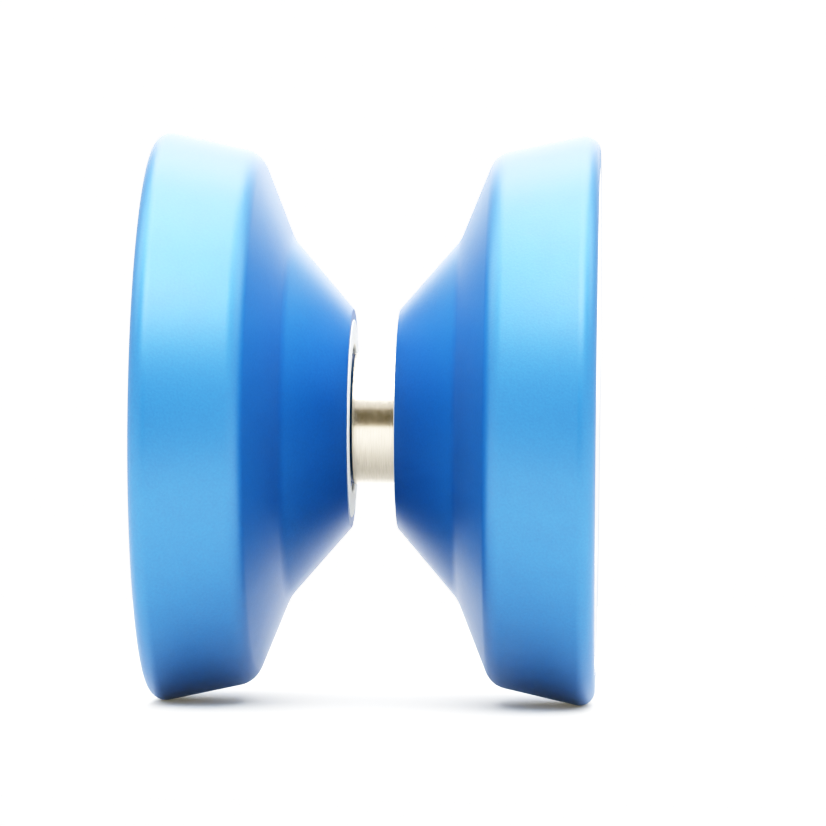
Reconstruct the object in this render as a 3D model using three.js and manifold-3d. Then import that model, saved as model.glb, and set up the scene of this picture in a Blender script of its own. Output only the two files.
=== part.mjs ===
// A take-apart ball-bearing yo-yo: two turned aluminium halves screwed together on a threaded axle, a
// shielded ball bearing clamped between their seats, and a silicone response ring in the face of each half.
// Millimetres. +X is the spin axis, +Z is up, and the origin is the centre of the bearing.

import * as THREE from "three";
import { mergeVertices } from "three/addons/utils/BufferGeometryUtils.js";
import Module from "manifold-3d";

const wasm = await Module();
wasm.setup();

const degrees = THREE.MathUtils.degToRad;

// ---------------------------------------------------------------- driving dimensions

const OVERALL_DIAMETER = 55; // over the rounded rim edges
const OVERALL_WIDTH = 43; // from outer face to outer face
const STRING_GAP = 4.5; // between the two gap faces

// Outer skin of one half, seen from the string side
const RIM_LENGTH = 10.05; // along the axis, from the outer face to the rim's inner corner
const RIM_TAPER = degrees(12.3); // the rim narrows towards the string
const RIM_EDGE_ROUND = 1.5;
const RIM_CORNER_ROUND = 2.5;
const STEP_LEAN = degrees(22); // of the steep wall under the rim, from the plane of the rim
const WAIST_RADIUS = 17.4; // where the steep wall turns into the cone
const WAIST_ROUND = 3.7;
const GAP_EDGE_RADIUS = 10.6; // where the cone ends at the gap face
const GAP_EDGE_ROUND = 0.3;

// Cup side of one half
const FACE_RING_INNER_RADIUS = 24.6; // of the flat ring that the yo-yo lies on
const FACE_CHAMFER = 0.5;
const RIM_WALL_FOOT = { axial: 14.6, radius: 23.1, round: 3 }; // inner foot of the heavy rim
const WAIST_INSIDE = { axial: 9.9, radius: 16.3, round: 3 };
const CUP_FLOOR_AXIAL = 5.4;
const CUP_FLOOR_OUTER_RADIUS = 10.4;
const CUP_FLOOR_ROUND = 1.5;
const HUB_FOOT_RADIUS = 6.4;
const HUB_END_RADIUS = 5;
const HUB_END_AXIAL = 12.4;
const HUB_END_ROUND = 1;

// Ball bearing, inch size R188: 1/4 x 1/2 x 3/16 inch with ten 1/16 inch balls
const BEARING_BORE_RADIUS = 6.35 / 2;
const BEARING_OUTER_RADIUS = 12.7 / 2;
const BEARING_WIDTH = 4.762;
const BALL_RADIUS = 1.588 / 2;
const BALL_COUNT = 10;
const PITCH_RADIUS = (BEARING_BORE_RADIUS + BEARING_OUTER_RADIUS) / 2;
const RACEWAY_RADIUS = 0.84; // of the groove's section, a little over the ball
const OUTER_SHOULDER_RADIUS = 5.22;
const INNER_SHOULDER_RADIUS = 4.25;
const OUTER_RACE_CHAMFER = 0.38;
const INNER_RACE_CHAMFER = 0.15;
const SHIELD_THICKNESS = 0.2;
const SHIELD_BORE_RADIUS = 4.36;
const SHIELD_OUTER_RADIUS = 5.84;
const SHIELD_CLEARANCE = 0.03; // in the outer race
const SHIELD_LEDGE_AXIAL = 1.78; // ledge in the outer race that the shield lies on
const SNAP_RING_WIDTH = 0.22;
const SNAP_RING_INNER_RADIUS = 5.42;
const SNAP_RING_OPENING = degrees(30);
const SNAP_LIP_RADIUS = 5.72;
const SNAP_LIP_WIDTH = 0.11;
const CAGE_INNER_RADIUS = 4.5;
const CAGE_OUTER_RADIUS = 5.02;
const CAGE_RING_AXIAL = 1.3; // the closed side of the crown cage
const CAGE_TIP_AXIAL = -0.6; // the tips of its prongs, past the ball centres
const CAGE_POCKET_RADIUS = 0.87;

// Bearing seat, axle and response ring
const SEAT_CLEARANCE = 0.025; // of the seat in the bearing's bore
const SEAT_END_AXIAL = 0.15; // the two seats all but meet inside the bearing
const SEAT_CHAMFER = 0.25;
const SHOULDER_GAP = 0.02; // between the seat's shoulder and the inner race
const SHOULDER_RADIUS = 4.05; // the shoulder touches the inner race only
const RECESS_AXIAL = 2.65; // floor of the recess around the bearing
const RECESS_RADIUS = 6.8;
const RECESS_LIP_AXIAL = 2.45; // thin lip between the recess and the response ring
const AXLE_RADIUS = 1.9; // M4 set screw, at the mean of its thread's crests and the clearance
const AXLE_LENGTH = 20;
const AXLE_CHAMFER = 0.5;
const AXLE_SOCKET_ACROSS_FLATS = 2;
const AXLE_SOCKET_DEPTH = 2.5;
const AXLE_HOLE_RADIUS = 2;
const AXLE_HOLE_SPARE_DEPTH = 0.4;
const PAD_GROOVE_INNER_RADIUS = 7.12;
const PAD_GROOVE_OUTER_RADIUS = 9.62;
const PAD_GROOVE_AXIAL = 3.2; // floor of the groove
const PAD_CLEARANCE = 0.03;
const PAD_PROUD = 0.1; // the ring stands out of the gap face by this much

// Fineness of the meshes
const TURNED_SEGMENTS = 40;
const ARC_STEP = degrees(24); // of a rounded corner or a raceway
const BALL_SEGMENTS = 12;
const BALL_RINGS = 8;

// ---------------------------------------------------------------- shape helpers

// The angle turned through from one direction to another, between minus and plus half a turn.
function signedTurn(from, to) {
  return Math.atan2(Math.sin(to - from), Math.cos(to - from));
}

// Points on an arc about a centre, both ends included. A point is (radius, axial).
function arcPoints(centre, radius, startAngle, sweep) {
  const steps = Math.max(1, Math.ceil(Math.abs(sweep) / ARC_STEP));
  const points = [];
  for (let i = 0; i <= steps; i++) {
    const angle = startAngle + (sweep * i) / steps;
    points.push(new THREE.Vector2(Math.cos(angle), Math.sin(angle)).multiplyScalar(radius).add(centre));
  }
  return points;
}

// The arc that rounds one corner, tangent to both of its sides.
function roundedCorner(before, corner, after, rounding) {
  const toBefore = before.clone().sub(corner).normalize();
  const toAfter = after.clone().sub(corner).normalize();
  const halfAngle = Math.acos(toBefore.dot(toAfter)) / 2;
  const bisector = toBefore.clone().add(toAfter).normalize();
  const centre = corner.clone().addScaledVector(bisector, rounding / Math.sin(halfAngle));
  const tangentLength = rounding / Math.tan(halfAngle);
  const start = corner.clone().addScaledVector(toBefore, tangentLength).sub(centre).angle();
  const end = corner.clone().addScaledVector(toAfter, tangentLength).sub(centre).angle();
  return arcPoints(centre, rounding, start, signedTurn(start, end));
}

// An outline from its corners, each [axial, radius] or [axial, radius, rounding].
function outlineOf(corners) {
  const points = corners.map(([axial, radius]) => new THREE.Vector2(radius, axial));
  return corners.flatMap(([, , rounding], i) => {
    if (!rounding) return [points[i]];
    const before = points.at(i - 1);
    const after = points[(i + 1) % points.length];
    return roundedCorner(before, points[i], after, rounding);
  });
}

// The outline of a piece that is the same on both sides of the bearing's middle plane, from its +X side.
function mirroredOutline(positiveSide) {
  const negativeSide = positiveSide.map((point) => new THREE.Vector2(point.x, -point.y)).reverse();
  return [...positiveSide, ...negativeSide];
}

// A piece turned about the X axis. Its outline ends on the axis, or closes on itself as a ring does.
function turned(outline) {
  const points = [...outline];
  if (THREE.ShapeUtils.area(points) < 0) points.reverse();
  const isRing = points.every((point) => point.x > 0);
  if (isRing) points.push(points[0]);
  return new THREE.LatheGeometry(points, TURNED_SEGMENTS).rotateZ(-Math.PI / 2);
}

// A plain ring between two radii and two places on the axis.
function plainRing(innerRadius, outerRadius, fromAxial, toAxial) {
  return turned(
    outlineOf([
      [fromAxial, innerRadius],
      [toAxial, innerRadius],
      [toAxial, outerRadius],
      [fromAxial, outerRadius],
    ]),
  );
}

// three.js geometry to a manifold-3d solid, and back.
function solidOf(geometry) {
  const bare = geometry.clone().deleteAttribute("normal").deleteAttribute("uv");
  const merged = mergeVertices(bare, 1e-4);
  return new wasm.Manifold(
    new wasm.Mesh({
      numProp: 3,
      vertProperties: merged.attributes.position.array,
      triVerts: new Uint32Array(merged.index.array),
    }),
  );
}

function geometryOf(solid) {
  const mesh = solid.getMesh();
  const geometry = new THREE.BufferGeometry();
  geometry.setAttribute("position", new THREE.BufferAttribute(mesh.vertProperties, mesh.numProp));
  geometry.setIndex(new THREE.BufferAttribute(mesh.triVerts, 1));
  geometry.computeVertexNormals();
  return geometry;
}

// ---------------------------------------------------------------- finishes

const anodisedBlue = () => new THREE.MeshStandardMaterial({ color: 0x2270c8, metalness: 0.9, roughness: 0.45 });
const bearingSteel = () => new THREE.MeshStandardMaterial({ color: 0xd8d6cf, metalness: 1, roughness: 0.22 });
const shieldSteel = () => new THREE.MeshStandardMaterial({ color: 0xc4c6c8, metalness: 1, roughness: 0.3 });
const ballSteel = () => new THREE.MeshStandardMaterial({ color: 0xe2e3e4, metalness: 1, roughness: 0.06 });
const axleSteel = () => new THREE.MeshStandardMaterial({ color: 0xa9abad, metalness: 1, roughness: 0.35 });
const paleSilicone = () => new THREE.MeshStandardMaterial({ color: 0xf1f1ea, metalness: 0, roughness: 0.6 });

// ---------------------------------------------------------------- the pieces

// One half, with its string side towards -X. It is one turned piece: rim, step wall, cone, gap face, seat and hub.
function halfGeometry() {
  const outerAxial = OVERALL_WIDTH / 2;
  const gapAxial = STRING_GAP / 2;
  const edgeAllowance = RIM_EDGE_ROUND * (Math.tan(RIM_TAPER) + 1 / Math.cos(RIM_TAPER) - 1);
  const sharpEdgeRadius = OVERALL_DIAMETER / 2 + edgeAllowance;
  const cornerAxial = outerAxial - RIM_LENGTH;
  const cornerRadius = sharpEdgeRadius - RIM_LENGTH * Math.tan(RIM_TAPER);
  const waistAxial = cornerAxial - (cornerRadius - WAIST_RADIUS) * Math.tan(STEP_LEAN);
  const seatRadius = BEARING_BORE_RADIUS - SEAT_CLEARANCE;
  const shoulderAxial = BEARING_WIDTH / 2 + SHOULDER_GAP;
  const holeEndAxial = AXLE_LENGTH / 2 + AXLE_HOLE_SPARE_DEPTH;
  const axleHoleAndSeat = [
    [holeEndAxial, 0],
    [holeEndAxial, AXLE_HOLE_RADIUS],
    [SEAT_END_AXIAL + SEAT_CHAMFER, AXLE_HOLE_RADIUS],
    [SEAT_END_AXIAL, AXLE_HOLE_RADIUS + SEAT_CHAMFER],
    [SEAT_END_AXIAL, seatRadius - SEAT_CHAMFER],
    [SEAT_END_AXIAL + SEAT_CHAMFER, seatRadius],
    [shoulderAxial, seatRadius],
    [shoulderAxial, SHOULDER_RADIUS],
  ];
  const gapFace = [
    [RECESS_AXIAL, SHOULDER_RADIUS],
    [RECESS_AXIAL, RECESS_RADIUS],
    [RECESS_LIP_AXIAL, RECESS_RADIUS],
    [RECESS_LIP_AXIAL, PAD_GROOVE_INNER_RADIUS],
    [PAD_GROOVE_AXIAL, PAD_GROOVE_INNER_RADIUS],
    [PAD_GROOVE_AXIAL, PAD_GROOVE_OUTER_RADIUS],
    [gapAxial, PAD_GROOVE_OUTER_RADIUS],
    [gapAxial, GAP_EDGE_RADIUS, GAP_EDGE_ROUND],
  ];
  const outerSkin = [
    [waistAxial, WAIST_RADIUS, WAIST_ROUND],
    [cornerAxial, cornerRadius, RIM_CORNER_ROUND],
    [outerAxial, sharpEdgeRadius, RIM_EDGE_ROUND],
    [outerAxial, FACE_RING_INNER_RADIUS],
  ];
  const cup = [
    [outerAxial - FACE_CHAMFER, FACE_RING_INNER_RADIUS - FACE_CHAMFER],
    [RIM_WALL_FOOT.axial, RIM_WALL_FOOT.radius, RIM_WALL_FOOT.round],
    [WAIST_INSIDE.axial, WAIST_INSIDE.radius, WAIST_INSIDE.round],
    [CUP_FLOOR_AXIAL, CUP_FLOOR_OUTER_RADIUS, CUP_FLOOR_ROUND],
    [CUP_FLOOR_AXIAL, HUB_FOOT_RADIUS, CUP_FLOOR_ROUND],
    [HUB_END_AXIAL, HUB_END_RADIUS, HUB_END_ROUND],
    [HUB_END_AXIAL, 0],
  ];
  return turned(outlineOf([...axleHoleAndSeat, ...gapFace, ...outerSkin, ...cup]));
}

// The silicone response ring of the +X half, in its groove.
function padGeometry() {
  const innerRadius = PAD_GROOVE_INNER_RADIUS + PAD_CLEARANCE;
  const outerRadius = PAD_GROOVE_OUTER_RADIUS - PAD_CLEARANCE;
  return plainRing(innerRadius, outerRadius, STRING_GAP / 2 - PAD_PROUD, PAD_GROOVE_AXIAL - PAD_CLEARANCE);
}

// Points of a ball groove from the middle plane out to the shoulder, side +1 outside the balls and -1 inside.
function racewayPoints(shoulderRadius, side) {
  const start = side > 0 ? 0 : Math.PI;
  const reach = Math.acos(Math.abs(shoulderRadius - PITCH_RADIUS) / RACEWAY_RADIUS);
  const centre = new THREE.Vector2(PITCH_RADIUS, 0);
  return arcPoints(centre, RACEWAY_RADIUS, start, side * reach);
}

function outerRaceGeometry() {
  const faceAxial = BEARING_WIDTH / 2;
  const lipAxial = faceAxial - SNAP_LIP_WIDTH;
  const boreRadius = SHIELD_OUTER_RADIUS + SHIELD_CLEARANCE;
  return turned(
    mirroredOutline([
      ...racewayPoints(OUTER_SHOULDER_RADIUS, 1),
      ...outlineOf([
        [SHIELD_LEDGE_AXIAL, OUTER_SHOULDER_RADIUS],
        [SHIELD_LEDGE_AXIAL, boreRadius],
        [lipAxial, boreRadius],
        [lipAxial, SNAP_LIP_RADIUS],
        [faceAxial, SNAP_LIP_RADIUS],
        [faceAxial, BEARING_OUTER_RADIUS - OUTER_RACE_CHAMFER],
        [faceAxial - OUTER_RACE_CHAMFER, BEARING_OUTER_RADIUS],
      ]),
    ]),
  );
}

function innerRaceGeometry() {
  const faceAxial = BEARING_WIDTH / 2;
  return turned(
    mirroredOutline([
      ...racewayPoints(INNER_SHOULDER_RADIUS, -1),
      ...outlineOf([
        [faceAxial, INNER_SHOULDER_RADIUS],
        [faceAxial, BEARING_BORE_RADIUS + INNER_RACE_CHAMFER],
        [faceAxial - INNER_RACE_CHAMFER, BEARING_BORE_RADIUS],
      ]),
    ]),
  );
}

// The place of one ball, with the first at the top.
function ballPlace(index) {
  const angle = (index / BALL_COUNT) * 2 * Math.PI;
  return new THREE.Vector3(0, PITCH_RADIUS * Math.sin(angle), PITCH_RADIUS * Math.cos(angle));
}

// A crown cage: a ring beside the balls with prongs between them, cut out by a pocket for each ball.
function cageGeometry() {
  const crown = plainRing(CAGE_INNER_RADIUS, CAGE_OUTER_RADIUS, CAGE_TIP_AXIAL, CAGE_RING_AXIAL);
  let cage = solidOf(crown);
  for (let i = 0; i < BALL_COUNT; i++) {
    const pocket = new THREE.SphereGeometry(CAGE_POCKET_RADIUS, BALL_SEGMENTS, BALL_RINGS);
    const place = ballPlace(i);
    pocket.translate(place.x, place.y, place.z);
    cage = cage.subtract(solidOf(pocket));
  }
  return geometryOf(cage);
}

// The shield of the +X side, a thin washer on the outer race's ledge.
function shieldGeometry() {
  const backAxial = SHIELD_LEDGE_AXIAL + SHOULDER_GAP;
  return plainRing(SHIELD_BORE_RADIUS, SHIELD_OUTER_RADIUS, backAxial, backAxial + SHIELD_THICKNESS);
}

// The snap ring that holds the +X shield, an open ring of flat wire with its opening at the top.
function snapRingGeometry() {
  const startAxial = SHIELD_LEDGE_AXIAL + SHIELD_THICKNESS + 2 * SHOULDER_GAP;
  const openingStart = Math.PI / 2 + SNAP_RING_OPENING / 2;
  const openingEnd = Math.PI / 2 - SNAP_RING_OPENING / 2 + 2 * Math.PI;
  const outline = new THREE.Shape();
  outline.absarc(0, 0, SHIELD_OUTER_RADIUS, openingStart, openingEnd, false);
  outline.absarc(0, 0, SNAP_RING_INNER_RADIUS, openingEnd, openingStart, true);
  const ring = new THREE.ExtrudeGeometry(outline, {
    depth: SNAP_RING_WIDTH,
    bevelEnabled: false,
    curveSegments: TURNED_SEGMENTS / 2,
  });
  return ring.rotateX(Math.PI / 2).rotateZ(Math.PI / 2).translate(startAxial, 0, 0);
}

// The axle: a set screw with a hexagon socket in its -X end.
function axleGeometry() {
  const endAxial = AXLE_LENGTH / 2;
  const rod = turned(
    outlineOf([
      [-endAxial, 0],
      [-endAxial, AXLE_RADIUS - AXLE_CHAMFER],
      [-endAxial + AXLE_CHAMFER, AXLE_RADIUS],
      [endAxial - AXLE_CHAMFER, AXLE_RADIUS],
      [endAxial, AXLE_RADIUS - AXLE_CHAMFER],
      [endAxial, 0],
    ]),
  );
  const cornerRadius = AXLE_SOCKET_ACROSS_FLATS / 2 / Math.cos(Math.PI / 6);
  const socket = new THREE.CylinderGeometry(cornerRadius, cornerRadius, 2 * AXLE_SOCKET_DEPTH, 6);
  socket.rotateZ(-Math.PI / 2).translate(-endAxial, 0, 0);
  return geometryOf(solidOf(rod).subtract(solidOf(socket)));
}

// ---------------------------------------------------------------- the assembly

const yoyo = new THREE.Group();

function add(name, geometry, material, parent = yoyo) {
  const mesh = new THREE.Mesh(geometry, material);
  mesh.name = name;
  parent.add(mesh);
  return mesh;
}

// The pieces that come in pairs are made for the +X side, and turned half a turn about Z for the -X side.
for (const side of ["right", "left"]) {
  const group = new THREE.Group();
  if (side === "left") group.rotation.z = Math.PI;
  yoyo.add(group);
  add(`${side}_half`, halfGeometry(), anodisedBlue(), group);
  add(`${side}_response_pad`, padGeometry(), paleSilicone(), group);
  add(`${side}_shield`, shieldGeometry(), shieldSteel(), group);
  add(`${side}_snap_ring`, snapRingGeometry(), axleSteel(), group);
}

add("axle", axleGeometry(), axleSteel());
add("bearing_outer_race", outerRaceGeometry(), bearingSteel());
add("bearing_inner_race", innerRaceGeometry(), bearingSteel());
add("ball_cage", cageGeometry(), shieldSteel());

for (let i = 0; i < BALL_COUNT; i++) {
  const ball = new THREE.SphereGeometry(BALL_RADIUS, BALL_SEGMENTS, BALL_RINGS);
  add(`bearing_ball_${i + 1}`, ball, ballSteel()).position.copy(ballPlace(i));
}

export default yoyo;
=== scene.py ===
"""The looks of a take-apart ball-bearing yo-yo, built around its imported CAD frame.

Shapes are written in millimetres and made in metres. +X is the spin axis, +Z is up, and the origin is the
centre of the bearing. A turned piece is an outline of points (place along the axis, radius), spun about the
X axis.
"""

import math

import bmesh
import bpy
from mathutils import Matrix, Vector


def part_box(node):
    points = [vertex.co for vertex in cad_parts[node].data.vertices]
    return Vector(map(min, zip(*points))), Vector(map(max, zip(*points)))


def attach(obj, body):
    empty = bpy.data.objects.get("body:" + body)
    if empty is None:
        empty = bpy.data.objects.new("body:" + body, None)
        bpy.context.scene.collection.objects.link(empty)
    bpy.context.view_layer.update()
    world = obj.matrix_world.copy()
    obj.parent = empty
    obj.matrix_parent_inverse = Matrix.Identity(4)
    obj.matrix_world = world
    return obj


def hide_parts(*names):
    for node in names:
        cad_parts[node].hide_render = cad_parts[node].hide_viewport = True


MM = 0.001

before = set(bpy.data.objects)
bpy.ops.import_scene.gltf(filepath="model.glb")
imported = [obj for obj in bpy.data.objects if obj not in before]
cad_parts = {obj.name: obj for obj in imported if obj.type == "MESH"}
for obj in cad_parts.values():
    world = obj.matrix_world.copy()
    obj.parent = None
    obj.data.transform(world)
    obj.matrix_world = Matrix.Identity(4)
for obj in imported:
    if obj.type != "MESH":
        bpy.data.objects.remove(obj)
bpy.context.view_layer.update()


# ---------------------------------------------------------------- driving dimensions, in millimetres


def cad_reach(node):
    """How far a CAD node reaches along +X and +Z, in millimetres."""
    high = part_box(node)[1]
    return high.x / MM, high.z / MM


HALF_END, RIM_REACH = cad_reach("right_half")
PAD_BACK, PAD_OUTER_RADIUS = cad_reach("right_response_pad")
RACE_HALF_WIDTH, RACE_OUTER_RADIUS = cad_reach("bearing_outer_race")
AXLE_END = cad_reach("axle")[0]
SHIELD_FRONT, SHIELD_OUTER_RADIUS = cad_reach("right_shield")
SNAP_RING_FRONT = cad_reach("right_snap_ring")[0]
BALL_RADIUS, BALL_TOP = cad_reach("bearing_ball_1")
PITCH_RADIUS = BALL_TOP - BALL_RADIUS
CAGE_FRONT, CAGE_OUTER_RADIUS = cad_reach("ball_cage")

# Outer skin of a half, from the string side outwards
GAP_HALF_WIDTH = 2.25
GAP_EDGE_RADIUS = 10.6
GAP_EDGE_ROUND = 0.22
WAIST_RADIUS = 17.4
WAIST_ROUND = 3.7
STEP_LEAN = math.radians(22)
RIM_LENGTH = 10.05
RIM_TAPER = math.radians(12.3)
RIM_CORNER_ROUND = 2.5
RIM_EDGE_ROUND = 1.5

# Cup side of a half. A bright bevel covers the face chamfer, just inside its mouth to just past its foot. The
# corners at the foot of the rim's wall and inside the waist are (axial, radius, rounding).
FACE_RING_INNER_RADIUS = 24.6
FACE_CHAMFER = 0.5
CHAMFER_ROUND = 0.12
BEVEL_MOUTH_MARGIN = 0.03
BEVEL_FOOT_MARGIN = 0.025
RIM_WALL_FOOT = (14.6, 23.1, 3.0)
WAIST_INSIDE = (9.9, 16.3, 3.0)
CUP_FLOOR_AXIAL = 5.4
CUP_FLOOR_OUTER_RADIUS = 10.4
CUP_FLOOR_ROUND = 1.5
HUB_FOOT_RADIUS = 6.4
HUB_END_RADIUS = 5.0
HUB_END_AXIAL = 12.4
HUB_END_ROUND = 1.0

# Seat, recess and groove on the string side of a half
AXLE_HOLE_END = 10.4
AXLE_HOLE_RADIUS = 2.0
SEAT_END = 0.15
SEAT_RADIUS = 3.15
SEAT_CHAMFER = 0.25
SHOULDER_AXIAL = 2.4
SHOULDER_RADIUS = 4.05
RECESS_AXIAL = 2.65
RECESS_RADIUS = 6.8
RECESS_LIP_AXIAL = 2.45
PAD_GROOVE_INNER_RADIUS = 7.12
PAD_GROOVE_OUTER_RADIUS = 9.62
PAD_GROOVE_AXIAL = 3.2
PAD_PROUD = 0.1
PAD_ROUND = 0.18
SMALL_ROUND = 0.06

# Bearing
BEARING_BORE_RADIUS = 3.175
RACEWAY_RADIUS = 0.84
OUTER_SHOULDER_RADIUS = 5.22
INNER_SHOULDER_RADIUS = 4.25
OUTER_RACE_CHAMFER = 0.38
INNER_RACE_CHAMFER = 0.15
RACE_BORE_RADIUS = 5.87
SHIELD_LEDGE_AXIAL = 1.78
SHIELD_THICKNESS = 0.2
SHIELD_BORE_RADIUS = 4.36
SHIELD_DISH = 0.12
SNAP_LIP_RADIUS = 5.72
SNAP_LIP_WIDTH = 0.11
SNAP_RING_WIDTH = 0.22
SNAP_RING_INNER_RADIUS = 5.42
SNAP_RING_OPENING = math.radians(30)
CAGE_INNER_RADIUS = 4.5
CAGE_TIP = -0.6
CAGE_POCKET_RADIUS = 0.87
BALL_COUNT = sum(node.startswith("bearing_ball_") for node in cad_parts)

# Axle. The flank of its thread runs between these two shares of the pitch, from the middle of a crest.
THREAD_PITCH = 0.7
THREAD_CREST_RADIUS = 1.94
THREAD_ROOT_RADIUS = 1.6
THREAD_RUNOUT = 0.8
FLANK_TOP = 0.125
FLANK_FOOT = 0.375
AXLE_CHAMFER = 0.5
SOCKET_SIDES = 6
SOCKET_ACROSS_FLATS = 2.0
SOCKET_DEPTH = 2.5
SOCKET_OVERCUT = 1.0

# Fineness: points round a turned piece, rows of points along a piece, and how points join
TURNED_SEGMENTS = 256
CAGE_SEGMENTS = 160
SHIELD_SEGMENTS = 128
SNAP_RING_ROWS = 120
BALL_SEGMENTS = 32
BALL_RINGS = 20
AXLE_SEGMENTS = 48
AXLE_ROWS = 520
ARC_STEP = math.radians(6)
SHARP_ANGLE = math.radians(28)
WELD_DISTANCE = 0.0001


# ---------------------------------------------------------------- outlines


def arc(centre, radius, start, sweep):
    """Points on an arc, both ends included."""
    steps = max(1, math.ceil(abs(sweep) / ARC_STEP))
    angles = [start + sweep * i / steps for i in range(steps + 1)]
    return [centre + Vector((math.cos(a), math.sin(a))) * radius for a in angles]


def rounded_corner(before, corner, after, rounding):
    """The arc that rounds a corner, tangent to both of its sides."""
    to_before = (before - corner).normalized()
    to_after = (after - corner).normalized()
    half_angle = to_before.angle(to_after) / 2
    centre = corner + (to_before + to_after).normalized() * (rounding / math.sin(half_angle))
    tangent_length = rounding / math.tan(half_angle)
    start = corner + to_before * tangent_length - centre
    end = corner + to_after * tangent_length - centre
    start_angle = math.atan2(start.y, start.x)
    turn = math.atan2(end.y, end.x) - start_angle
    sweep = math.atan2(math.sin(turn), math.cos(turn))
    return arc(centre, rounding, start_angle, sweep)


def outline_of(corners):
    """An outline from its corners, each (axial, radius) or (axial, radius, rounding)."""
    places = [Vector(corner[:2]) for corner in corners]
    outline = []
    for i, corner in enumerate(corners):
        if len(corner) == 2:
            outline.append(places[i])
            continue
        after = places[(i + 1) % len(places)]
        outline += rounded_corner(places[i - 1], places[i], after, corner[2])
    return outline


def mirrored(outline):
    """A +X side outline joined to its mirror image in the bearing's middle plane."""
    return outline + [Vector((-p.x, p.y)) for p in reversed(outline)]


def half_outline():
    """One half: bore, seat, recess, groove, gap face, cone, step wall, rim, face ring, cup and hub."""
    edge_allowance = RIM_EDGE_ROUND * (math.tan(RIM_TAPER) + 1 / math.cos(RIM_TAPER) - 1)
    sharp_edge_radius = RIM_REACH + edge_allowance
    corner_axial = HALF_END - RIM_LENGTH
    corner_radius = sharp_edge_radius - RIM_LENGTH * math.tan(RIM_TAPER)
    waist_axial = corner_axial - (corner_radius - WAIST_RADIUS) * math.tan(STEP_LEAN)
    return outline_of(
        [
            (AXLE_HOLE_END, 0),
            (AXLE_HOLE_END, AXLE_HOLE_RADIUS),
            (SEAT_END + SEAT_CHAMFER, AXLE_HOLE_RADIUS, SMALL_ROUND),
            (SEAT_END, AXLE_HOLE_RADIUS + SEAT_CHAMFER, SMALL_ROUND),
            (SEAT_END, SEAT_RADIUS - SEAT_CHAMFER, SMALL_ROUND),
            (SEAT_END + SEAT_CHAMFER, SEAT_RADIUS, SMALL_ROUND),
            (SHOULDER_AXIAL, SEAT_RADIUS),
            (SHOULDER_AXIAL, SHOULDER_RADIUS, SMALL_ROUND),
            (RECESS_AXIAL, SHOULDER_RADIUS, SMALL_ROUND),
            (RECESS_AXIAL, RECESS_RADIUS, SMALL_ROUND),
            (RECESS_LIP_AXIAL, RECESS_RADIUS, SMALL_ROUND),
            (RECESS_LIP_AXIAL, PAD_GROOVE_INNER_RADIUS, SMALL_ROUND),
            (PAD_GROOVE_AXIAL, PAD_GROOVE_INNER_RADIUS),
            (PAD_GROOVE_AXIAL, PAD_GROOVE_OUTER_RADIUS),
            (GAP_HALF_WIDTH, PAD_GROOVE_OUTER_RADIUS, SMALL_ROUND),
            (GAP_HALF_WIDTH, GAP_EDGE_RADIUS, GAP_EDGE_ROUND),
            (waist_axial, WAIST_RADIUS, WAIST_ROUND),
            (corner_axial, corner_radius, RIM_CORNER_ROUND),
            (HALF_END, sharp_edge_radius, RIM_EDGE_ROUND),
            (HALF_END, FACE_RING_INNER_RADIUS, CHAMFER_ROUND),
            (HALF_END - FACE_CHAMFER, FACE_RING_INNER_RADIUS - FACE_CHAMFER, CHAMFER_ROUND),
            RIM_WALL_FOOT,
            WAIST_INSIDE,
            (CUP_FLOOR_AXIAL, CUP_FLOOR_OUTER_RADIUS, CUP_FLOOR_ROUND),
            (CUP_FLOOR_AXIAL, HUB_FOOT_RADIUS, CUP_FLOOR_ROUND),
            (HUB_END_AXIAL, HUB_END_RADIUS, HUB_END_ROUND),
            (HUB_END_AXIAL, 0),
        ]
    )


def pad_outline():
    """A response ring: a soft-edged flat ring that stands a little out of the gap face."""
    inner_radius = PAD_GROOVE_INNER_RADIUS + PAD_GROOVE_OUTER_RADIUS - PAD_OUTER_RADIUS
    front = GAP_HALF_WIDTH - PAD_PROUD
    return outline_of(
        [
            (PAD_BACK, inner_radius),
            (front, inner_radius, PAD_ROUND),
            (front, PAD_OUTER_RADIUS, PAD_ROUND),
            (PAD_BACK, PAD_OUTER_RADIUS),
        ]
    )


def raceway(shoulder_radius, side):
    """A ball groove's section from the middle plane to the shoulder: side 1 outside the balls, -1 inside."""
    reach = math.acos(abs(shoulder_radius - PITCH_RADIUS) / RACEWAY_RADIUS)
    return arc(Vector((0, PITCH_RADIUS)), RACEWAY_RADIUS, side * math.pi / 2, -side * reach)


def outer_race_outline():
    lip = RACE_HALF_WIDTH - SNAP_LIP_WIDTH
    side = outline_of(
        [
            (SHIELD_LEDGE_AXIAL, OUTER_SHOULDER_RADIUS),
            (SHIELD_LEDGE_AXIAL, RACE_BORE_RADIUS),
            (lip, RACE_BORE_RADIUS),
            (lip, SNAP_LIP_RADIUS),
            (RACE_HALF_WIDTH, SNAP_LIP_RADIUS),
            (RACE_HALF_WIDTH, RACE_OUTER_RADIUS - OUTER_RACE_CHAMFER, SMALL_ROUND),
            (RACE_HALF_WIDTH - OUTER_RACE_CHAMFER, RACE_OUTER_RADIUS, SMALL_ROUND),
            (0, RACE_OUTER_RADIUS),
        ]
    )[:-1]
    return mirrored(raceway(OUTER_SHOULDER_RADIUS, 1) + side)


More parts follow.
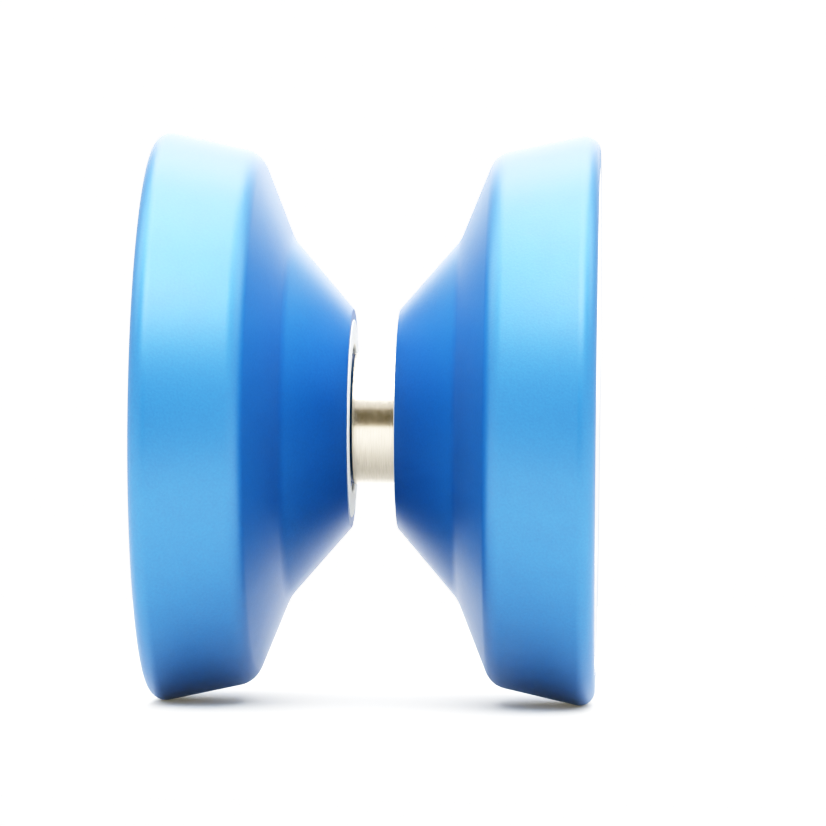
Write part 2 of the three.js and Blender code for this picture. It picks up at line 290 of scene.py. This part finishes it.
def inner_race_outline():
    side = outline_of(
        [
            (RACE_HALF_WIDTH, INNER_SHOULDER_RADIUS, SMALL_ROUND),
            (RACE_HALF_WIDTH, BEARING_BORE_RADIUS + INNER_RACE_CHAMFER, SMALL_ROUND),
            (RACE_HALF_WIDTH - INNER_RACE_CHAMFER, BEARING_BORE_RADIUS, SMALL_ROUND),
            (0, BEARING_BORE_RADIUS),
            (0, INNER_SHOULDER_RADIUS),
        ]
    )[:-2]
    return mirrored(raceway(INNER_SHOULDER_RADIUS, -1) + side)


def shield_outline():
    """A pressed washer, dished inwards round its bore."""
    back = SHIELD_FRONT - SHIELD_THICKNESS
    dish_radius = (SHIELD_BORE_RADIUS + SHIELD_OUTER_RADIUS) / 2
    return outline_of(
        [
            (SHIELD_FRONT, SHIELD_OUTER_RADIUS, SMALL_ROUND),
            (back, SHIELD_OUTER_RADIUS, SMALL_ROUND),
            (back, dish_radius + SHIELD_DISH),
            (back - SHIELD_DISH, dish_radius - SHIELD_DISH),
            (back - SHIELD_DISH, SHIELD_BORE_RADIUS, SMALL_ROUND),
            (SHIELD_FRONT - SHIELD_DISH, SHIELD_BORE_RADIUS, SMALL_ROUND),
            (SHIELD_FRONT - SHIELD_DISH, dish_radius - SHIELD_DISH),
            (SHIELD_FRONT, dish_radius + SHIELD_DISH),
        ]
    )


# ---------------------------------------------------------------- mesh makers


def mesh_object(name, vertices, faces):
    """A smooth-shaded object from points in millimetres, with sharp edges where the surface turns sharply."""
    mesh = bpy.data.meshes.new(name)
    mesh.from_pydata([Vector(v) * MM for v in vertices], [], faces)
    tidy = bmesh.new()
    tidy.from_mesh(mesh)
    bmesh.ops.remove_doubles(tidy, verts=tidy.verts, dist=WELD_DISTANCE * MM)
    bmesh.ops.recalc_face_normals(tidy, faces=tidy.faces)
    tidy.to_mesh(mesh)
    tidy.free()
    mesh.shade_smooth()
    mesh.set_sharp_from_angle(angle=SHARP_ANGLE)
    made = bpy.data.objects.new(name, mesh)
    bpy.context.scene.collection.objects.link(made)
    return made


def spin_faces(rows, segments, closed):
    """Quads between rows of points round the axis. A closed outline joins its last row to its first."""
    faces = []
    for row in range(rows if closed else rows - 1):
        here = row * segments
        there = (row + 1) % rows * segments
        for i in range(segments):
            j = (i + 1) % segments
            faces.append((here + i, here + j, there + j, there + i))
    return faces


def end_faces(rows, segments):
    """The flat faces that close the two ends of rows of points round the axis."""
    last_row = (rows - 1) * segments
    return [tuple(range(segments)), tuple(range(last_row, last_row + segments))]


def around(axial, radius, angle):
    """The point at a place along the axis, a radius and an angle from the top."""
    return axial, radius * math.sin(angle), radius * math.cos(angle)


def turned(name, outline, side=1, segments=TURNED_SEGMENTS):
    """An outline spun about the X axis. Side -1 makes the mirror piece for the -X half."""
    vertices = []
    for place in outline:
        for i in range(segments):
            angle = 2 * math.pi * i / segments
            vertices.append(around(side * place.x, place.y, angle))
    closed = min(place.y for place in outline) > 0
    return mesh_object(name, vertices, spin_faces(len(outline), segments, closed))


def subtract(base, cutter):
    """Cuts one object out of another, and removes the cutter."""
    cut = base.modifiers.new("cut", "BOOLEAN")
    cut.operation = "DIFFERENCE"
    cut.solver = "EXACT"
    cut.object = cutter
    evaluated = base.evaluated_get(bpy.context.evaluated_depsgraph_get())
    result = bpy.data.meshes.new_from_object(evaluated)
    base.modifiers.clear()
    base.data = result
    bpy.data.objects.remove(cutter)
    base.data.shade_smooth()
    base.data.set_sharp_from_angle(angle=SHARP_ANGLE)


def ball_place(index):
    """Centre of one ball, with the first at the top."""
    angle = 2 * math.pi * index / BALL_COUNT
    return Vector(around(0, PITCH_RADIUS, angle))


def balls(name, indices, radius):
    """Spheres at the places of the given balls, as one object."""
    made = bmesh.new()
    for index in indices:
        bmesh.ops.create_uvsphere(
            made,
            u_segments=BALL_SEGMENTS,
            v_segments=BALL_RINGS,
            radius=radius * MM,
            matrix=Matrix.Translation(ball_place(index) * MM),
        )
    mesh = bpy.data.meshes.new(name)
    made.to_mesh(mesh)
    made.free()
    mesh.shade_smooth()
    ball = bpy.data.objects.new(name, mesh)
    bpy.context.scene.collection.objects.link(ball)
    return ball


def make_cage():
    """A crown cage: a ring beside the balls with prongs between them, cut out by a pocket for each ball."""
    ring = outline_of(
        [
            (CAGE_TIP, CAGE_INNER_RADIUS, SMALL_ROUND),
            (CAGE_FRONT, CAGE_INNER_RADIUS, SMALL_ROUND),
            (CAGE_FRONT, CAGE_OUTER_RADIUS, SMALL_ROUND),
            (CAGE_TIP, CAGE_OUTER_RADIUS, SMALL_ROUND),
        ]
    )
    cage = turned("cage_crown", ring, segments=CAGE_SEGMENTS)
    subtract(cage, balls("cage_pockets", range(BALL_COUNT), CAGE_POCKET_RADIUS))
    return cage


def make_snap_ring(name, side):
    """An open ring of flat wire with its opening at the top."""
    back = SNAP_RING_FRONT - SNAP_RING_WIDTH
    section = outline_of(
        [
            (SNAP_RING_FRONT, SNAP_RING_INNER_RADIUS, SMALL_ROUND),
            (SNAP_RING_FRONT, SHIELD_OUTER_RADIUS, SMALL_ROUND),
            (back, SHIELD_OUTER_RADIUS, SMALL_ROUND),
            (back, SNAP_RING_INNER_RADIUS, SMALL_ROUND),
        ]
    )
    turn = 2 * math.pi - SNAP_RING_OPENING
    vertices = []
    for row in range(SNAP_RING_ROWS):
        angle = SNAP_RING_OPENING / 2 + turn * row / (SNAP_RING_ROWS - 1)
        for place in section:
            vertices.append(around(side * place.x, place.y, angle))
    faces = spin_faces(SNAP_RING_ROWS, len(section), closed=False)
    return mesh_object(name, vertices, faces + end_faces(SNAP_RING_ROWS, len(section)))


def thread_radius(axial, angle):
    """Radius of a right-hand thread that fades out towards each end, at an angle from +Y towards +Z."""
    phase = (axial / THREAD_PITCH - angle / (2 * math.pi)) % 1
    from_crest = abs(phase - 0.5)
    height = min(1, max(0, (FLANK_FOOT - from_crest) / (FLANK_FOOT - FLANK_TOP)))
    fade = min(1, max(0, (AXLE_END - abs(axial)) / THREAD_RUNOUT))
    root = THREAD_CREST_RADIUS - (THREAD_CREST_RADIUS - THREAD_ROOT_RADIUS) * fade
    return root + (THREAD_CREST_RADIUS - root) * height


def socket_cutter():
    """The hexagonal prism that cuts the socket into the axle's -X end."""
    corner_radius = SOCKET_ACROSS_FLATS / 2 / math.cos(math.pi / SOCKET_SIDES)
    mouth = -AXLE_END - SOCKET_OVERCUT
    bottom = -AXLE_END + SOCKET_DEPTH
    vertices = []
    for axial in (mouth, bottom):
        for i in range(SOCKET_SIDES):
            vertices.append(around(axial, corner_radius, 2 * math.pi * i / SOCKET_SIDES))
    faces = spin_faces(2, SOCKET_SIDES, closed=False)
    return mesh_object("axle_socket", vertices, faces + end_faces(2, SOCKET_SIDES))


def make_axle():
    """A set screw with a real helical thread, chamfered ends and a hexagon socket in its -X end."""
    vertices = []
    for row in range(AXLE_ROWS):
        axial = AXLE_END * (2 * row / (AXLE_ROWS - 1) - 1)
        chamfer_radius = THREAD_CREST_RADIUS - max(0, AXLE_CHAMFER - (AXLE_END - abs(axial)))
        for i in range(AXLE_SEGMENTS):
            angle = 2 * math.pi * i / AXLE_SEGMENTS
            radius = min(thread_radius(axial, angle), chamfer_radius)
            vertices.append((axial, radius * math.cos(angle), radius * math.sin(angle)))
    faces = spin_faces(AXLE_ROWS, AXLE_SEGMENTS, closed=False)
    axle = mesh_object("axle_screw", vertices, faces + end_faces(AXLE_ROWS, AXLE_SEGMENTS))
    subtract(axle, socket_cutter())
    return axle


# ---------------------------------------------------------------- materials


# Noise: the levels that most of it lies between, and how far turning lines are drawn out round the axis
NOISE_LOW = 0.3
NOISE_HIGH = 0.7
ROUND_THE_AXIS = 0.6


class Nodes:
    """A material's node tree, with short ways to add and link nodes."""

    def __init__(self, name):
        self.material = bpy.data.materials.new(name)
        self.material.use_nodes = True
        self.tree = self.material.node_tree
        self.shader = self.tree.nodes["Principled BSDF"]
        self.object_place = self.tree.nodes.new("ShaderNodeTexCoord").outputs["Object"]

    def add(self, kind, **inputs):
        node = self.tree.nodes.new(kind)
        for label, value in inputs.items():
            self.give(node.inputs[label.replace("_", " ").title()], value)
        return node

    def give(self, socket, value):
        if isinstance(value, bpy.types.NodeSocket):
            self.tree.links.new(value, socket)
        else:
            socket.default_value = value

    def set(self, **inputs):
        for label, value in inputs.items():
            self.give(self.shader.inputs[label.replace("_", " ").title().replace("Ior", "IOR")], value)

    def noise(self, grain_mm, detail=2.0, place=None):
        """Noise from 0 to 1 whose grains are about this many millimetres across."""
        place = place or self.object_place
        node = self.add("ShaderNodeTexNoise", vector=place, scale=1 / (grain_mm * MM), detail=detail)
        return node.outputs["Fac"]

    def turning_lines(self, fineness):
        """Noise drawn out into fine lines round the spin axis, as a tool or a grinding wheel leaves them."""
        mapping = self.add("ShaderNodeMapping", vector=self.object_place)
        mapping.inputs["Scale"].default_value = (fineness, ROUND_THE_AXIS, ROUND_THE_AXIS)
        return self.noise(grain_mm=1.0, detail=4, place=mapping.outputs["Vector"])

    def ranged(self, noise, low, high):
        """Noise stretched from its usual levels to a range, and clamped there."""
        node = self.add("ShaderNodeMapRange", value=noise)
        node.inputs["From Min"].default_value = NOISE_LOW
        node.inputs["From Max"].default_value = NOISE_HIGH
        node.inputs["To Min"].default_value = low
        node.inputs["To Max"].default_value = high
        return node.outputs["Result"]

    def mixed(self, noise, first, second):
        """A colour between two (red, green, blue) colours, by noise."""
        node = self.tree.nodes.new("ShaderNodeMix")
        node.data_type = "RGBA"
        self.give(node.inputs["Factor"], self.ranged(noise, 0, 1))
        self.give(node.inputs["A"], (*first, 1))
        self.give(node.inputs["B"], (*second, 1))
        return node.outputs["Result"]

    def bump(self, height, strength, depth_mm):
        node = self.add("ShaderNodeBump", height=height, strength=strength, distance=depth_mm * MM)
        self.set(normal=node.outputs["Normal"])


def anodised_blue():
    """Bead-blasted aluminium under a clear blue anodic layer, which looks deeper at a shallow angle."""
    nodes = Nodes("anodised_blue")
    blasted = nodes.noise(grain_mm=0.22, detail=3)
    cloudy = nodes.noise(grain_mm=2.5)
    deep = (0.009, 0.153, 0.384)
    light = (0.011, 0.173, 0.432)
    nodes.set(
        base_color=nodes.mixed(blasted, deep, light),
        metallic=0.95,
        specular_tint=(0.0, 0.15, 0.3, 1),
        roughness=nodes.ranged(cloudy, 0.61, 0.65),
        coat_weight=1.0,
        coat_roughness=0.42,
        coat_ior=1.68,
    )
    nodes.bump(blasted, strength=0.6, depth_mm=0.03)
    return nodes.material


def turned_aluminium():
    """Bare aluminium left by a finishing cut after anodising, with fine lines round the spin axis."""
    nodes = Nodes("turned_aluminium")
    lines = nodes.turning_lines(fineness=40)
    nodes.set(
        base_color=nodes.mixed(lines, (0.84, 0.85, 0.86), (0.92, 0.92, 0.93)),
        metallic=1.0,
        roughness=nodes.ranged(lines, 0.16, 0.24),
    )
    nodes.bump(lines, strength=0.3, depth_mm=0.002)
    return nodes.material


def darkened(colour, share):
    return tuple(share * part for part in colour)


def ground_steel(name, colour, roughness):
    """Steel ground on a spindle, with fine lines round the spin axis."""
    nodes = Nodes(name)
    lines = nodes.turning_lines(fineness=30)
    patches = nodes.noise(grain_mm=0.8)
    smoother = 0.85 * roughness
    rougher = 1.2 * roughness
    nodes.set(
        base_color=nodes.mixed(lines, darkened(colour, 0.74), colour),
        metallic=1.0,
        roughness=nodes.ranged(patches, smoother, rougher),
    )
    nodes.bump(lines, strength=0.3, depth_mm=0.002)
    return nodes.material


def plain_steel(name, colour, roughness, grain_mm):
    """Pressed or rolled steel with an even, slightly grainy surface."""
    nodes = Nodes(name)
    grain = nodes.noise(grain_mm, detail=4)
    smoother = 0.85 * roughness
    rougher = 1.15 * roughness
    nodes.set(
        base_color=nodes.mixed(grain, darkened(colour, 0.75), colour),
        metallic=1.0,
        roughness=nodes.ranged(grain, rougher, smoother),
    )
    nodes.bump(grain, strength=0.15, depth_mm=0.01)
    return nodes.material


def response_silicone():
    """Cast pale silicone, matte, a little uneven."""
    nodes = Nodes("response_silicone")
    cast = nodes.noise(grain_mm=0.25, detail=4)
    nodes.set(
        base_color=nodes.mixed(cast, (0.78, 0.78, 0.73), (0.88, 0.88, 0.84)),
        roughness=nodes.ranged(cast, 0.5, 0.65),
        subsurface_weight=0.1,
        subsurface_radius=(MM, MM, MM),
    )
    nodes.bump(cast, strength=0.3, depth_mm=0.02)
    return nodes.material


# ---------------------------------------------------------------- the yo-yo


def dress(piece, material, body, slot, *replaced):
    """Gives a piece its material, ties it to its CAD body and hides the CAD nodes it replaces; its slot
    argument is not used.
    """
    piece.data.materials.clear()
    piece.data.materials.append(material)
    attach(piece, body)
    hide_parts(*replaced)


def brighten_face_chamfer(half, material):
    """Gives a half's inner face chamfer, from its mouth to its foot, a second material."""
    half.data.materials.append(material)
    mouth = HALF_END - BEVEL_MOUTH_MARGIN
    foot = HALF_END - FACE_CHAMFER - BEVEL_FOOT_MARGIN
    outer_radius = FACE_RING_INNER_RADIUS + BEVEL_MOUTH_MARGIN
    for face in half.data.polygons:
        axial = abs(face.center.x) / MM
        radius = face.center.yz.length / MM
        if foot < axial < mouth and radius < outer_radius:
            face.material_index = 1


def make_yoyo():
    blue = anodised_blue()
    bare_aluminium = turned_aluminium()
    silicone = response_silicone()
    race_steel = ground_steel("race_steel", (0.62, 0.56, 0.46), roughness=0.2)
    shield_steel = plain_steel("shield_steel", (0.6, 0.61, 0.62), roughness=0.3, grain_mm=0.2)
    spring_steel = plain_steel("spring_steel", (0.42, 0.42, 0.43), roughness=0.35, grain_mm=0.1)
    cage_steel = plain_steel("cage_steel", (0.5, 0.48, 0.44), roughness=0.35, grain_mm=0.15)
    axle_steel = plain_steel("axle_steel", (0.5, 0.51, 0.52), roughness=0.3, grain_mm=0.12)
    ball_steel = plain_steel("ball_steel", (0.8, 0.8, 0.8), roughness=0.08, grain_mm=0.3)

    sides = {"right": (1, "right_side", "right_carriage"), "left": (-1, "left_side", "left_side")}
    for name, (side, half_body, pad_body) in sides.items():
        half = turned(f"{name}_half_turned", half_outline(), side)
        dress(half, blue, half_body, "anodised_blue", f"{name}_half")
        brighten_face_chamfer(half, bare_aluminium)
        pad = turned(f"{name}_response_ring", pad_outline(), side)
        dress(pad, silicone, pad_body, "response_silicone", f"{name}_response_pad")
        shield = turned(f"{name}_dished_shield", shield_outline(), side, SHIELD_SEGMENTS)
        dress(shield, shield_steel, "bearing_shell", "shield_steel", f"{name}_shield")
        snap_ring = make_snap_ring(f"{name}_open_snap_ring", side)
        dress(snap_ring, spring_steel, "bearing_shell", "spring_steel", f"{name}_snap_ring")

    outer_race = turned("outer_race_ground", outer_race_outline())
    dress(outer_race, race_steel, "bearing_shell", "race_steel", "bearing_outer_race")
    inner_race = turned("inner_race_ground", inner_race_outline())
    dress(inner_race, race_steel, "left_side", "race_steel", "bearing_inner_race")
    dress(make_cage(), cage_steel, "cage", "cage_steel", "ball_cage")
    dress(make_axle(), axle_steel, "left_side", "axle_steel", "axle")
    for index in range(BALL_COUNT):
        number = index + 1
        ball = balls(f"polished_ball_{number}", [index], BALL_RADIUS)
        dress(ball, ball_steel, f"ball_{number}", "ball_steel", f"bearing_ball_{number}")


# ---------------------------------------------------------------- the studio

# The camera: its place and the depth it sees in metres, its turns, and its lens and sensor in millimetres
CAMERA_DISTANCE = 0.4704
CAMERA_RIGHT = 0.0251
CAMERA_YAW = math.radians(-2.621)
CAMERA_PITCH = math.radians(0.072)
CAMERA_ROLL = math.radians(0.634)
CAMERA_LENS = 211.8
SENSOR_WIDTH = 36.0
CAMERA_NEAR = 0.05
CAMERA_FAR = 20

# The surround, and the softboxes in metres and watts. An arch of them is spread from front to back by height
# over the front horizon, and one more stands high at each side.
SURROUND_BRIGHTNESS = 2.07
ARCH_POWERS = [5.6, 4.7, 4.1, 2.2]
ARCH_START = math.radians(50)
ARCH_SPACING = math.radians(35)
ARCH_WIDTH = 0.5
ARCH_LENGTH = 0.33
SIDE_ELEVATION = math.radians(45)
SIDE_WIDTH = 0.4
SIDE_POWER = 2.1
SOFTBOX_DISTANCE = 0.6

# The table and the dim side of the room behind the camera, in metres
TABLE_COLOUR = (0.68, 0.68, 0.66, 1)
# Painted light: the paper's own warm glow, which lightens the shadows under the rims.
TABLE_PAINTED_GLOW = (0.22, 0.19, 0.13, 1)
TABLE_FRONT = -0.12
TABLE_BACK = 0.25
TABLE_REACH = 0.3
ROOM_COLOUR = (0.4, 0.36, 0.24, 1)
ROOM_DISTANCE = 0.65
ROOM_REACH = 0.17
ROOM_BOTTOM = -0.16
ROOM_TOP = 0.2

# The camera's response: its contrast, how hard its highlights roll off, the brightness it shows as white, and
# its curve's fineness and place
CONTRAST = 1.6
ROLL_OFF = 1.24
WHITE_BRIGHTNESS = 2.05
RESPONSE_STEPS = 24
COMBINED_CURVE = 3


def make_camera():
    """A long lens level with the axis, a little to the right of the yo-yo and turned back towards it."""
    camera = bpy.data.objects.new("camera", bpy.data.cameras.new("camera"))
    bpy.context.scene.collection.objects.link(camera)
    camera.data.lens = CAMERA_LENS
    camera.data.sensor_width = SENSOR_WIDTH
    camera.data.clip_start = CAMERA_NEAR
    camera.data.clip_end = CAMERA_FAR
    looking_along_y = Matrix.Rotation(math.pi / 2, 4, "X")
    yaw = Matrix.Rotation(-CAMERA_YAW, 4, "Z")
    pitch = Matrix.Rotation(CAMERA_PITCH, 4, "X")
    roll = Matrix.Rotation(CAMERA_ROLL, 4, "Z")
    place = Matrix.Translation((CAMERA_RIGHT, -CAMERA_DISTANCE, 0))
    camera.matrix_world = place @ yaw @ pitch @ looking_along_y @ roll
    bpy.context.scene.camera = camera


def flat_sheet(name, corners, material):
    """A staged rectangle from its four corners in metres."""
    mesh = bpy.data.meshes.new(name)
    mesh.from_pydata(corners, [], [(0, 1, 2, 3)])
    mesh.materials.append(material)
    sheet = bpy.data.objects.new(name, mesh)
    bpy.context.scene.collection.objects.link(sheet)
    return sheet


def make_surround():
    """An even white surround."""
    world = bpy.data.worlds.new("white_surround")
    world.use_nodes = True
    background = world.node_tree.nodes["Background"]
    background.inputs["Color"].default_value = (1, 1, 1, 1)
    background.inputs["Strength"].default_value = SURROUND_BRIGHTNESS
    bpy.context.scene.world = world


def make_softbox(name, direction, width, length, power):
    """A softbox that faces the yo-yo from a direction, with its length as near upright as it goes."""
    light = bpy.data.lights.new(name, "AREA")
    light.shape = "RECTANGLE"
    light.size = width
    light.size_y = length
    light.energy = power
    lamp = bpy.data.objects.new(name, light)
    lamp.location = SOFTBOX_DISTANCE * direction
    lamp.rotation_euler = direction.to_track_quat("Z", "Y").to_euler()
    lamp.visible_camera = False
    bpy.context.scene.collection.objects.link(lamp)


def make_softboxes():
    """An arch of softboxes over the yo-yo from front to back, and one at each side."""
    for number, power in enumerate(ARCH_POWERS):
        elevation = ARCH_START + number * ARCH_SPACING
        direction = Vector((0, -math.cos(elevation), math.sin(elevation)))
        make_softbox(f"arch_softbox_{number}", direction, ARCH_WIDTH, ARCH_LENGTH, power)
    for name, side in {"left": -1, "right": 1}.items():
        direction = Vector((side * math.cos(SIDE_ELEVATION), 0, math.sin(SIDE_ELEVATION)))
        make_softbox(f"{name}_softbox", direction, SIDE_WIDTH, SIDE_WIDTH, SIDE_POWER)


def make_table():
    """White paper under the rims, with a faint warm glow of painted light that softens the shadows near it.
    """
    paper = Nodes("white_paper_painted_glow")
    paper.set(base_color=TABLE_COLOUR, roughness=0.7)
    # Painted light: the paper glows faintly warm to lighten its shadows.
    paper.set(emission_color=TABLE_PAINTED_GLOW, emission_strength=1.0)
    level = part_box("left_half")[0].z
    corners = [(-TABLE_REACH, TABLE_FRONT, level), (TABLE_REACH, TABLE_FRONT, level)]
    corners += [(TABLE_REACH, TABLE_BACK, level), (-TABLE_REACH, TABLE_BACK, level)]
    flat_sheet("table", corners, paper.material)


def make_dim_room():
    """The dim side of the room behind the camera, which darkens what faces the camera."""
    dim = Nodes("dim_room")
    dim.set(base_color=(0, 0, 0, 1), roughness=1.0, emission_color=ROOM_COLOUR, emission_strength=1.0)
    corners = [(-ROOM_REACH, -ROOM_DISTANCE, ROOM_BOTTOM), (ROOM_REACH, -ROOM_DISTANCE, ROOM_BOTTOM)]
    corners += [(ROOM_REACH, -ROOM_DISTANCE, ROOM_TOP), (-ROOM_REACH, -ROOM_DISTANCE, ROOM_TOP)]
    flat_sheet("dim_room_side", corners, dim.material).visible_camera = False


def camera_response(brightness):
    """The share of white that a camera shows a brightness as, with deep darks and soft highlights."""
    contrasty = brightness**CONTRAST
    white = WHITE_BRIGHTNESS**CONTRAST
    rolled_off = contrasty / (1 + contrasty**ROLL_OFF) ** (1 / ROLL_OFF)
    return rolled_off * (1 + white**-ROLL_OFF) ** (1 / ROLL_OFF)


def set_camera_response():
    """Gives the view the camera's response as a curve, with its points closer together in the darks."""
    view = bpy.context.scene.view_settings
    view.view_transform = "Standard"
    view.use_curve_mapping = True
    view.curve_mapping.white_level = (WHITE_BRIGHTNESS,) * 3
    response = view.curve_mapping.curves[COMBINED_CURVE]
    for step in range(1, RESPONSE_STEPS):
        share = (step / RESPONSE_STEPS) ** 2
        response.points.new(share, camera_response(share * WHITE_BRIGHTNESS))
    view.curve_mapping.update()


set_camera_response()
make_camera()
make_yoyo()
make_surround()
make_softboxes()
make_table()
make_dim_room()
